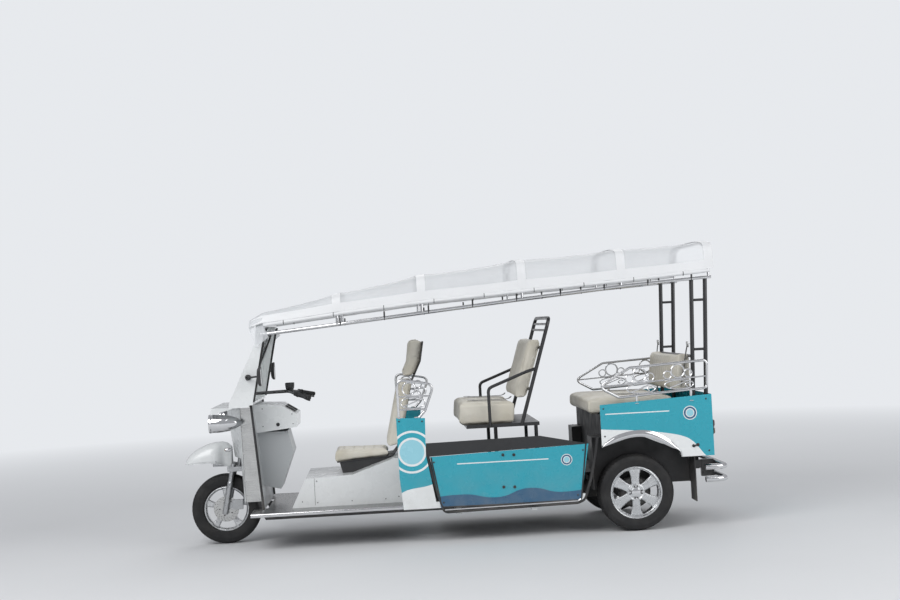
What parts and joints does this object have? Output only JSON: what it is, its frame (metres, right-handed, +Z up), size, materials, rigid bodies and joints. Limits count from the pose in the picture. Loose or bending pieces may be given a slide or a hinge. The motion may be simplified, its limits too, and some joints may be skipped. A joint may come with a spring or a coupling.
{
  "type": "auto rickshaw",
  "caption": "Three wheeled open sided passenger rickshaw with canopy roof, steered front wheel, driver's seat and two passenger benches.",
  "frame": {"origin": "on the ground, midway along the length and across the width", "axes": "-X to the front, +Y to the driver's right, +Z up"},
  "size_m": [4.122, 1.464, 2.1473],
  "materials": {
    "frame_black": "satin black paint",
    "white_paint": "gloss white paint",
    "teal_paint": "gloss teal and white paint",
    "grey_paint": "satin grey paint",
    "bright_steel": "polished stainless sheet",
    "chrome_tube": "chromed tube",
    "alloy": "cast alloy",
    "fork_alloy": "painted fork alloy",
    "tyre": "road tyre rubber",
    "black_rubber": "black rubber",
    "black_plastic": "black plastic",
    "cream_vinyl": "cream vinyl",
    "canopy_sheet": "translucent white sheet",
    "curtain_sheet": "white sheet rolled up",
    "screen_glass": "clear glass",
    "lens_glass": "clear lens",
    "red_lens": "red lens",
    "chequer_plate": "chequer plate",
    "battery_case": "plain battery case",
    "axle_steel": "black axle paint",
    "dark_floor": "dark grey floor coating"
  },
  "bodies": {
    "chassis": {"chassis_frame": "frame_black", "battery_pack": "battery_case", "rear_axle_set": "axle_steel", "nose_shell": "white_paint", "bright_trims": "bright_steel", "leg_shield": "grey_paint", "dash_box": "white_paint", "windscreen_frame": "white_paint", "windscreen_glass": "screen_glass", "edge_rubbers": "black_rubber", "headlamp_shells": "chrome_tube", "headlamp_lenses": "lens_glass", "mirrors": "black_plastic", "front_floor": "chequer_plate", "seat_plinth": "white_paint", "driver_seat_shell": "black_plastic", "driver_seat_cushion": "cream_vinyl", "driver_seat_back": "cream_vinyl", "front_quarter_panels": "teal_paint", "passenger_floor": "dark_floor", "side_panels": "teal_paint", "sills": "white_paint", "side_rails": "chrome_tube", "middle_seat_frame": "frame_black", "middle_seat_cushion": "cream_vinyl", "middle_seat_back": "cream_vinyl", "rear_body_panels": "teal_paint", "wheel_housings": "black_plastic", "rear_seat_box": "white_paint", "rear_seat_cushion": "cream_vinyl", "rear_seat_back": "cream_vinyl", "roof_frame": "chrome_tube", "roof_canopy": "canopy_sheet", "curtain_rolls": "curtain_sheet", "rear_posts": "frame_black", "rear_bumper": "chrome_tube", "tail_lamps": "red_lens"},
    "steering": {"front_fork": "fork_alloy", "front_mudguard": "white_paint", "handlebar": "black_plastic"},
    "front_wheel": {"front_tyre": "tyre", "front_rim": "alloy"},
    "rear_wheel_left": {"rear_tyre_left": "tyre", "rear_rim_left": "alloy"},
    "rear_wheel_right": {"rear_tyre_right": "tyre", "rear_rim_right": "alloy"}
  },
  "joints": [
    {"name": "steering_turn", "type": "hinge", "parent": "chassis", "child": "steering", "pos_m": [-1.72, 0, 0.27], "axis": [0.2079, 0, 0.9781], "range_deg": [-35, 35]},
    {"name": "front_wheel_spin", "type": "hinge", "parent": "steering", "child": "front_wheel", "pos_m": [-1.761, 0, 0.27], "axis": [0, 1, 0], "continuous": true},
    {"name": "rear_wheel_left_spin", "type": "hinge", "parent": "chassis", "child": "rear_wheel_left", "pos_m": [1.353, -0.576, 0.285], "axis": [0, 1, 0], "continuous": true},
    {"name": "rear_wheel_right_spin", "type": "hinge", "parent": "chassis", "child": "rear_wheel_right", "pos_m": [1.353, 0.576, 0.285], "axis": [0, 1, 0], "continuous": true}
  ]
}
